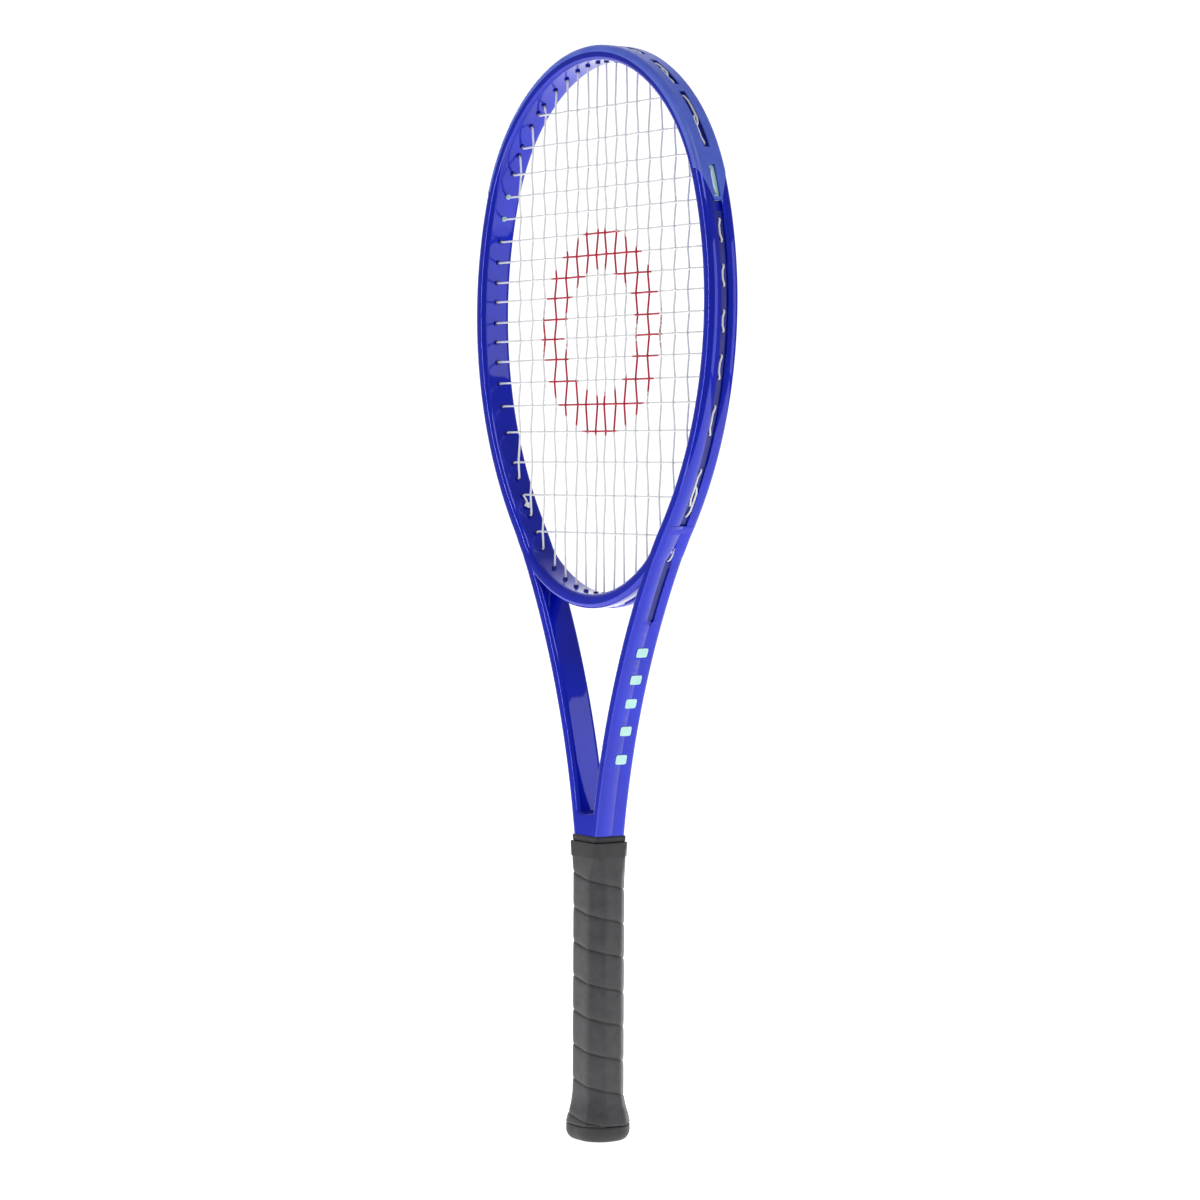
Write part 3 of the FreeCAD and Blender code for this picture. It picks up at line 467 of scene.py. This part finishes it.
def wrapped_grip():
    """The wound grip: one strip whose edges meet in a sloping seam."""
    row_step = 0.4
    inner_rows = 60
    seam_depth, seam_width = 0.55, 0.55
    hollow_depth, hollow_width = 0.22, 2.6
    # Painted shade: how much and how wide the colour is darkened along each seam, for the shadow in its
    # groove.
    shade_depth, shade_width = 0.60, 0.8
    rim_depth, rim_width = 0.8, 1.0
    height = GRIP_TOP - GRIP_BOTTOM
    rows = int(height / row_step) + 1
    points = []
    shades = []
    columns = 0
    for i in range(rows):
        z = GRIP_BOTTOM + height * i / (rows - 1)
        flare = smooth_flare(z)
        ring = octagon(z, 0.0)
        columns = len(ring)
        around = 0.0
        total = sum((ring[k] - ring[k - 1]).length for k in range(columns))
        for k, p in enumerate(ring):
            if k:
                around += (p - ring[k - 1]).length
            seam = WRAP_START - WRAP_PITCH * around / total
            near = (z - seam + WRAP_PITCH / 2) % WRAP_PITCH - WRAP_PITCH / 2
            edge = min(z - GRIP_BOTTOM, GRIP_TOP - z)
            sink = seam_depth * bell(near, seam_width) + hollow_depth * bell(near, hollow_width)
            sink += rim_depth * max(0.0, 1.0 - edge / rim_width) ** 2
            scale = 1.0 + (flare - sink) / p.length
            points.append((p.x * scale, p.y * scale, z))
            # Painted shade along the seam, stored per point for the leather's colour.
            shade = 1.0 - shade_depth * bell(near, shade_width)
            shades += [shade, shade, shade, 1.0]
    for i in range(inner_rows):
        z = GRIP_TOP - height * i / (inner_rows - 1)
        for p in octagon(z, 0.0):
            scale = 1.0 + (smooth_flare(z) - GRIP) / p.length
            points.append((p.x * scale, p.y * scale, z))
            shades += [1.0] * 4
    piece = mesh_piece("grip_wrap", points, grid_faces(rows + inner_rows, columns, closed_rows=True))
    layer = piece.data.color_attributes.new("painted_seam_shade", "FLOAT_COLOR", "POINT")
    layer.data.foreach_set("color", shades)
    return piece


finish_piece(wrapped_grip(), LEATHER, stands_for=["base_grip"])


def rounded_rectangle(x, y, radius, per_corner=8):
    points = []
    centres = ((x - radius, -y + radius, -90), (x - radius, y - radius, 0),
               (-x + radius, y - radius, 90), (-x + radius, -y + radius, 180))
    for cx, cy, start in centres:
        for k in range(per_corner):
            a = math.radians(start + 90.0 * k / (per_corner - 1))
            points.append(Vector((cx + radius * math.cos(a), cy + radius * math.sin(a))))
    return points


def collar():
    """The rubber band above the grip's top edge, with rounded rims and grooves round it."""
    low, high = GRIP_TOP + COLLAR_RISE, COLLAR_TOP
    steps = 26
    rim_depth, rim_power = 0.7, 6
    groove_depth, grooves = 0.12, 3
    bore_y = HALF_DEPTH + COLLAR_GAP
    points = []
    columns = 0
    for i in range(steps + 1):
        share = i / steps
        z = low + (high - low) * share
        rim = rim_depth * abs(2 * share - 1.0) ** rim_power
        groove = groove_depth * (1.0 - math.cos(share * grooves * 2 * math.pi)) / 2
        grow = COLLAR_WALL - rim - groove
        ring = rounded_rectangle(shafts_half_x(z) + COLLAR_GAP + grow, bore_y + grow, TUBE_CORNER + grow)
        columns = len(ring)
        points += [(p.x, p.y, z) for p in ring]
    for z in (high, low):
        ring = rounded_rectangle(shafts_half_x(z) + COLLAR_GAP, bore_y, TUBE_CORNER)
        points += [(p.x, p.y, z) for p in ring]
    return mesh_piece("collar_band", points, grid_faces(steps + 3, columns, closed_rows=True))


finish_piece(collar(), RUBBER, stands_for=["grip_collar"])


# ---- Plain bars on the near shaft, where the real racket carries lettering

def bar(number, height):
    """A thin sheet of ink just off the shaft's outer side, with its corners drawn in a little."""
    half_along, half_across = 3.1, 4.1
    proud = 0.18
    corner_pull = 0.10
    count = 13
    middle = s_at_height(height, HALF_RADIAL)
    points = []
    for i in range(count):
        for j in range(count):
            u = 2 * i / (count - 1) - 1
            v = 2 * j / (count - 1) - 1
            pull = 1.0 - corner_pull * (abs(u) * abs(v)) ** 4
            along = middle + half_along * u * pull
            points.append(beside(along, HALF_RADIAL + proud, half_across * v * pull))
    return mesh_piece("shaft_bar_%d" % number, points, grid_faces(count, count, closed_columns=False))


for number, height in enumerate(BAR_HEIGHTS, 1):
    finish_piece(bar(number, height), MINT_INK)


# ---- Knots with their tails

CROSSES = [FIRST_CROSS_DROP + sum(CROSS_GAPS[:i]) for i in range(len(CROSS_GAPS) + 1)]
BEND_OUT = -(HALF_RADIAL + BARREL_PROUD + MOUTH_TO_BEND)
WIDEST = find(lambda s: station(s)[1].x, 1.0, HALF_LENGTH / 2)
CHANNEL_END = s_at_height(LENGTH - CHANNEL_END_DROP)


def cross_hole(number):
    return s_at_height(LENGTH - CROSSES[number - 1], BEND_OUT)


def main_top_hole(number):
    return find(lambda s: beside(s, BEND_OUT).x - MAINS[number - 1], 0.0, WIDEST)


def main_low_hole(number):
    return find(lambda s: beside(s, BEND_OUT).x - MAINS[number - 1], WIDEST, CHANNEL_END)


def knot(name, s):
    """A knot pulled up against the barrel, and a short cut tail along the head."""
    turns = 72
    loop_radius, loop_swing, loop_rise = 1.25, 0.55, 0.75
    thick, tail_thick, tail_tip = 0.62, 0.6, 0.45
    tail_length, tail_parts = 6.0, 12
    centre = beside(s, BEND_OUT)
    _, direction, normal = station(s)
    across = Vector((0.0, 1.0, 0.0))
    path = []
    for k in range(turns + 1):
        t = 2 * math.pi * k / turns
        ring = loop_radius + loop_swing * math.cos(3 * t)
        path.append(centre + direction * ring * math.cos(2 * t) + across * ring * math.sin(2 * t)
                    + normal * loop_rise * math.sin(3 * t))
    loop = tube_piece(name, path, [thick] * len(path))
    lean = direction * random.uniform(0.7, 1.0) - normal * random.uniform(0.25, 0.5) - across * 0.5
    start = centre + direction * 0.8
    tail = [start + lean * (tail_length * k / tail_parts) + across * 0.5 * math.sin(k / 4)
            for k in range(tail_parts + 1)]
    end = tube_piece(name + "_tail", tail, [tail_thick] * tail_parts + [tail_tip])
    return loop, end


MAIN_TIE = (cross_hole(17) + main_low_hole(7)) / 2
START_TIE = (main_top_hole(5) + main_top_hole(6)) / 2
END_TIE = (cross_hole(18) + main_low_hole(6)) / 2
for name, s in (("knot_main_left", -MAIN_TIE), ("knot_main_right", MAIN_TIE),
                ("knot_cross_start", START_TIE), ("knot_cross_end", END_TIE)):
    for made in knot(name, s):
        finish_piece(made, STRING)


# ---- The hairpin and the bridge, smooth along their whole length

CLOSED = 1e-4                # the share by which a channel that has ended is still open


def tube_section(groove):
    """The tube's outline as (out, across), with its channel that deep and open by the same share."""
    a, b, r = HALF_RADIAL, HALF_DEPTH, TUBE_CORNER
    per_corner = 8
    corners = ((a - r, b - r, 0), (r - a, b - r, 90), (r - a, r - b, 180), (a - r, r - b, 270))
    points = []
    for x, y, start in corners:
        for k in range(per_corner + 1):
            t = math.radians(start + 90.0 * k / per_corner)
            points.append((x + r * math.cos(t), y + r * math.sin(t)))
        if start == 90:
            points += [(-a, (b - r) * share) for share in (0.6, 0.2, -0.2, -0.6)]
    wide = CHANNEL_HALF_WIDTH * math.sqrt(groove)
    low = a - CHANNEL_DEPTH * min(1.0, groove * 1.6)
    rim = 0.25 * groove
    side = [(a, wide + rim), (a - rim, wide), (low, wide), (low, wide * 0.5)]
    points += [(out, -across) for out, across in side] + side[::-1]
    return points


def swept(name, frames):
    """A piece from (point, outward normal, groove) stations."""
    points = []
    columns = 0
    for point, normal, groove in frames:
        section = tube_section(groove)
        columns = len(section)
        points += [point + normal * out + Vector((0.0, across, 0.0)) for out, across in section]
    faces = grid_faces(len(frames), columns) + end_caps(len(frames), columns)
    return sharp_edges(mesh_piece(name, points, faces))


def channel_open(s):
    """1 along the channel, falling to almost 0 in its rounded end."""
    end_length = 3.5
    past = abs(s) - (CHANNEL_END - end_length)
    return 1.0 if past <= 0.0 else max(CLOSED, 1.0 - (past / end_length) ** 2)


def hairpin():
    count = 1100
    frames = []
    for i in range(count + 1):
        s = -HALF_LENGTH + 2 * HALF_LENGTH * i / count
        point, _, normal = station(s)
        frames.append((point, normal, channel_open(s)))
    return swept("hairpin_lacquered", frames)


def crotch():
    """The web between the shafts, with a hollowed top edge whose rims are rounded."""
    columns, rows, rim_steps = 41, 24, 6
    rim = 1.6
    depth = HALF_DEPTH - 0.02
    turns = [math.radians(90.0 * k / rim_steps) for k in range(rim_steps + 1)]
    points = []
    for i in range(columns):
        across = -1.0 + 2.0 * i / (columns - 1)
        top = CROTCH_TOP - CROTCH_DIP * math.sqrt(1.0 - across * across)
        side = [(-depth, CROTCH_BOTTOM + (top - rim - CROTCH_BOTTOM) * k / rows) for k in range(rows)]
        side += [(-depth + rim * (1.0 - math.cos(t)), top - rim * (1.0 - math.sin(t))) for t in turns]
        for y, z in side + [(-y, z) for y, z in side[::-1]]:
            points.append((across * beside(s_at_height(z), 0.0).x, y, z))
    return mesh_piece("crotch_web", points, grid_faces(columns, 2 * (rows + rim_steps + 1)))


def bridge():
    """The bridge, which leaves its arc near both ends and runs smoothly into the hairpin."""
    arc = BRIDGE_INNER + HALF_RADIAL
    half_turn, leaves_at, leaves_over = 58.0, 34.0, 20.0
    joins_above, joins_below = 4.0, 420.0
    proud = 0.15
    count = 160
    narrower = 0.998
    centre = Vector((0.0, 0.0, BRIDGE_CENTRE_Z))
    line = []
    for i in range(count + 1):
        angle = math.radians(half_turn * (2.0 * i / count - 1.0))
        on_arc = centre + Vector((arc * math.sin(angle), 0.0, -arc * math.cos(angle)))
        side = 1.0 if angle >= 0.0 else -1.0
        share = min(1.0, max(0.0, (abs(math.degrees(angle)) - leaves_at) / leaves_over))
        share = share * share * (3.0 - 2.0 * share)
        on_tube = beside(side * s_at_height(min(on_arc.z + joins_above, joins_below)), proud)
        line.append((on_arc * (1.0 - share) + on_tube * share, 1.0 - share))
    frames = []
    for i, (point, groove) in enumerate(line):
        ahead = line[min(i + 1, count)][0]
        behind = line[max(i - 1, 0)][0]
        along = (ahead - behind).normalized()
        frames.append((point, Vector((along.z, 0.0, -along.x)), max(CLOSED, groove)))
    piece = swept("bridge_lacquered", frames)
    for vertex in piece.data.vertices:
        vertex.co.y *= narrower
    return piece


finish_piece(hairpin(), FRAME_PAINT, stands_for=["hairpin_tube"])
finish_piece(crotch(), FRAME_PAINT)
finish_piece(bridge(), FRAME_PAINT, stands_for=["throat_bridge"])


# ---- Butt cap with its smooth rounded end, round the trap door

def cap_skin():
    """The cap from the door's opening out over its end and up to the grip, then down inside."""
    wide = FLARE - 0.35
    soft = 6.0
    chamfer = 0.25
    edge_steps = 18
    inside = -3.0
    half_x, half_y = DOOR_X / 2, DOOR_Y / 2
    template = octagon(0.0, wide, soft)

    def square(grow, z):
        """The template's points drawn in to the door's opening, grown by that much."""
        x, y = half_x + grow, half_y + grow
        return [(*(p * min(x / max(abs(p.x), 1e-6), y / max(abs(p.y), 1e-6))), z) for p in template]

    def eight_sided(grow, z):
        return [(p.x, p.y, z) for p in octagon(0.0, grow, soft)]

    rings = [square(-DOOR_LEDGE, CAP_WALL), square(-DOOR_LEDGE, DOOR_SEAT), square(0.0, DOOR_SEAT),
             square(0.0, chamfer), square(chamfer, 0.0)]
    for k in range(edge_steps + 1):
        t = math.radians(90.0 * k / edge_steps)
        grow = wide - BUTT_EDGE_IN * (1.0 - math.sin(t))
        rings.append(eight_sided(grow, BUTT_EDGE_HEIGHT * (1.0 - math.cos(t))))
    for z, grow in ((7.5, wide), (8.6, wide), (9.5, wide - 0.06), (9.9, wide - 0.40), (9.9, inside),
                    (CAP_WALL, inside)):
        rings.append(eight_sided(grow, z))
    points = [p for ring in rings for p in ring]
    faces = grid_faces(len(rings), len(template), closed_rows=True)
    return sharp_edges(mesh_piece("cap_moulded", points, faces))


finish_piece(cap_skin(), CAP, stands_for=["butt_cap"])


# ---- Floor, light and camera, in metres apart from the floor

AZIMUTH = math.radians(55.3)         # of the camera, from the racket's front towards +X
ELEVATION = math.radians(2.213)      # by which it looks down
ROLL = math.radians(0.234)
CAMERA_AWAY = 2.1487
CAMERA_HEIGHT = 0.423
LENS = 102.71                        # millimetres, on a sensor of 36
UP = Vector((0.0, 0.0, 1.0))
BEHIND = Vector((-math.sin(AZIMUTH), math.cos(AZIMUTH), 0.0))
SIDEWAYS = Vector((math.cos(AZIMUTH), math.sin(AZIMUTH), 0.0))
MIDDLE = UP * 0.40
HEAD_LEFT = Vector((-0.12, 0.0, 0.50))
FLOOR_FRONT = 700.0
FLOOR_BACK = 6000.0
FLOOR_SIDE = 1600.0
FLOOR_GLOW = 0.95


def floor():
    """A pale sheet, short in front of the racket so that its gloss doesn't mirror the sheet."""
    outline = ((-FLOOR_SIDE, -FLOOR_FRONT), (FLOOR_SIDE, -FLOOR_FRONT),
               (FLOOR_SIDE, FLOOR_BACK), (-FLOOR_SIDE, FLOOR_BACK))
    corners = [SIDEWAYS * across + BEHIND * away for across, away in outline]
    plane = mesh_piece("floor_plane", corners, [(0, 1, 2, 3)], smooth=False)
    made = Nodes("floor_pale", 0.85)
    made.colour(made.mottled(1.2, (0.93, 0.93, 0.93), (0.95, 0.95, 0.95)))
    made.shader.inputs["Emission Color"].default_value = (1.0, 1.0, 1.0, 1.0)
    made.shader.inputs["Emission Strength"].default_value = FLOOR_GLOW
    plane.data.materials.append(made.material)


def studio_world():
    """Bright behind the racket and dim elsewhere, so that its gloss has something to reflect."""
    world = bpy.data.worlds.new("studio")
    world.use_nodes = True
    tree = world.node_tree
    place = tree.nodes.new("ShaderNodeTexCoord")
    dot = tree.nodes.new("ShaderNodeVectorMath")
    dot.operation = "DOT_PRODUCT"
    dot.inputs[1].default_value = BEHIND
    tree.links.new(place.outputs["Generated"], dot.inputs[0])
    bright = map_range(tree, dot.outputs["Value"], 0.45, 0.92, 0.28, 1.20)
    tree.links.new(bright, tree.nodes["Background"].inputs["Color"])
    bpy.context.scene.world = world


def softbox(name, across, away, rise, size, power, target=MIDDLE):
    """A rectangular lamp placed from the racket's middle, as the camera sees it."""
    light = bpy.data.lights.new(name, "AREA")
    light.shape = "RECTANGLE"
    light.size, light.size_y = size
    light.energy = power
    lamp = bpy.data.objects.new(name, light)
    lamp.location = MIDDLE + SIDEWAYS * across + BEHIND * away + UP * rise
    lamp.rotation_euler = (target - lamp.location).to_track_quat("-Z", "Y").to_euler()
    bpy.context.scene.collection.objects.link(lamp)


def camera():
    level_up = UP * math.cos(ELEVATION) + BEHIND * math.sin(ELEVATION)
    back = UP * math.sin(ELEVATION) - BEHIND * math.cos(ELEVATION)
    right = SIDEWAYS * math.cos(ROLL) + level_up * math.sin(ROLL)
    up = level_up * math.cos(ROLL) - SIDEWAYS * math.sin(ROLL)
    place = Matrix((right, up, back)).transposed().to_4x4()
    place.translation = UP * CAMERA_HEIGHT - BEHIND * CAMERA_AWAY
    lens = bpy.data.cameras.new("camera")
    lens.lens = LENS
    lens.sensor_width = 36.0
    lens.clip_start = 0.05
    lens.clip_end = 60.0
    viewer = bpy.data.objects.new("camera", lens)
    viewer.matrix_world = place
    bpy.context.scene.collection.objects.link(viewer)
    bpy.context.scene.camera = viewer


floor()
studio_world()
softbox("box_left", across=-1.5, away=-0.5, rise=0.2, size=(0.16, 1.5), power=7.0)
softbox("box_front", across=0.5, away=-1.3, rise=1.5, size=(1.0, 1.0), power=10.0)
# Seen in the gloss: a panel on the head's inner left side and a line along its front edges.
softbox("box_right", across=1.410, away=-0.508, rise=0.15, size=(0.60, 0.9), power=2.4, target=HEAD_LEFT)
softbox("box_edge", across=-1.025, away=1.480, rise=0.15, size=(0.12, 1.3), power=3.0)
camera()
bpy.context.scene.view_settings.view_transform = "Standard"
